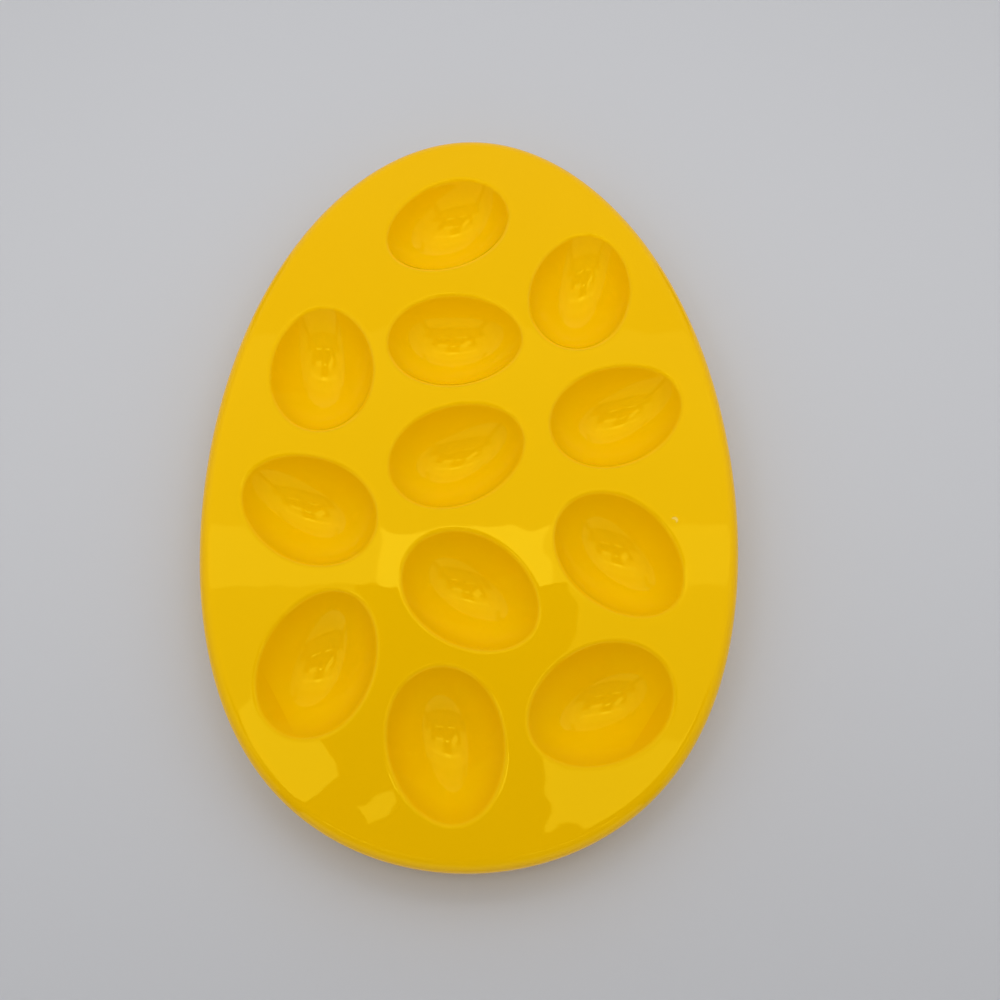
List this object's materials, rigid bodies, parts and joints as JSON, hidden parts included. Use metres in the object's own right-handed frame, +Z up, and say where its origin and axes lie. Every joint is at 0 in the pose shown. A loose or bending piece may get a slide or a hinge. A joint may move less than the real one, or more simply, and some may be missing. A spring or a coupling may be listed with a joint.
{
  "type": "deviled egg tray",
  "caption": "Egg-shaped serving tray, one thin glossy shell with egg-shaped wells scattered over a flat deck, a rounded edge and a short skirt open underneath.",
  "frame": {"origin": "middle of the tray's bounding box, on the table that its rim stands on", "axes": "+Z up out of the wells; +Y along the tray's length towards its narrow end; +X across its width, to the right with the narrow end away"},
  "size_m": [0.226, 0.3298, 0.026],
  "materials": {
    "yellow_gloss": "gloss"
  },
  "bodies": {
    "root": {"tray": "yellow_gloss"}
  },
  "joints": []
}
